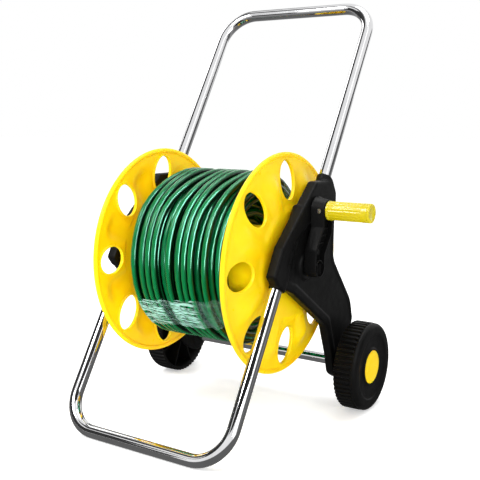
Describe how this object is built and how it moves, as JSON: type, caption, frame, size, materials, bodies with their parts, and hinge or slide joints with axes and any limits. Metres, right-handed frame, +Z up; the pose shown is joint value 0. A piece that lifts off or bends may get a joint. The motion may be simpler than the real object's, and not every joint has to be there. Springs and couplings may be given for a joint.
{
  "type": "garden hose reel cart",
  "caption": "Two-wheeled cart of bent tube with side brackets that carry a crank-driven reel of garden hose.",
  "frame": {"origin": "on the ground, under the centre of the box round the cart without its hose", "axes": "+Z up, +X along the reel axis towards the crank, +Y back towards the wheels and the push bar"},
  "size_m": [0.5282, 0.5446, 0.768],
  "materials": {
    "chrome_tube": "polished chromed steel tube",
    "black_plastic": "satin moulded plastic",
    "yellow_plastic": "smooth moulded plastic",
    "grip_plastic": "slightly translucent moulded plastic",
    "steel": "zinc plated",
    "pale_plastic": "plain bearing plastic",
    "grey_plastic": "moulded plastic",
    "seal_rubber": "smooth",
    "hose_vinyl": "glossy vinyl over a woven mesh",
    "clear_film": "clear stretch film"
  },
  "bodies": {
    "cart_frame": {"lower_frame_tube": "chrome_tube", "upper_handle_tube": "chrome_tube", "left_bracket": "black_plastic", "right_bracket": "black_plastic", "handle_tube_screws": "steel", "frame_tube_screws": "steel", "wheel_axle": "chrome_tube", "axle_washers": "steel", "axle_push_rings": "steel", "left_shaft_bush": "pale_plastic", "right_shaft_bush": "pale_plastic", "water_inlet": "black_plastic", "inlet_seal_ring": "seal_rubber", "inlet_screws": "steel"},
    "reel": {"left_flange": "yellow_plastic", "right_flange": "yellow_plastic", "left_flange_screws": "steel", "right_flange_screws": "steel", "drum_core": "yellow_plastic", "crank_shaft": "grey_plastic", "water_shaft": "grey_plastic", "outlet_elbow": "black_plastic", "hose_inner_nut": "grey_plastic", "hose_inner_lead": "hose_vinyl", "hose_winding": "hose_vinyl", "hose_free_end": "hose_vinyl", "hose_end_nut": "grey_plastic", "hose_end_fitting": "black_plastic", "front_film_band": "clear_film", "rear_film_band": "clear_film", "crank_arm": "black_plastic", "crank_washer": "steel", "crank_screw": "steel", "crank_side_screw": "steel", "grip_pin": "steel"},
    "grip": {"crank_grip": "grip_plastic", "grip_end_cap": "grip_plastic"},
    "wheel_left": {"left_wheel": "black_plastic", "left_hub_cap": "yellow_plastic"},
    "wheel_right": {"right_wheel": "black_plastic", "right_hub_cap": "yellow_plastic"}
  },
  "joints": [
    {"name": "reel_spin", "type": "hinge", "parent": "cart_frame", "child": "reel", "pos_m": [0, -0.02277, 0.292], "axis": [1, 0, 0], "continuous": true},
    {"name": "grip_spin", "type": "hinge", "parent": "reel", "child": "grip", "pos_m": [0.22, 0.00452, 0.38716], "axis": [1, 0, 0], "continuous": true},
    {"name": "left_wheel_spin", "type": "hinge", "parent": "cart_frame", "child": "wheel_left", "pos_m": [-0.22, 0.13073, 0.0825], "axis": [1, 0, 0], "continuous": true},
    {"name": "right_wheel_spin", "type": "hinge", "parent": "cart_frame", "child": "wheel_right", "pos_m": [0.22, 0.13073, 0.0825], "axis": [1, 0, 0], "continuous": true}
  ]
}
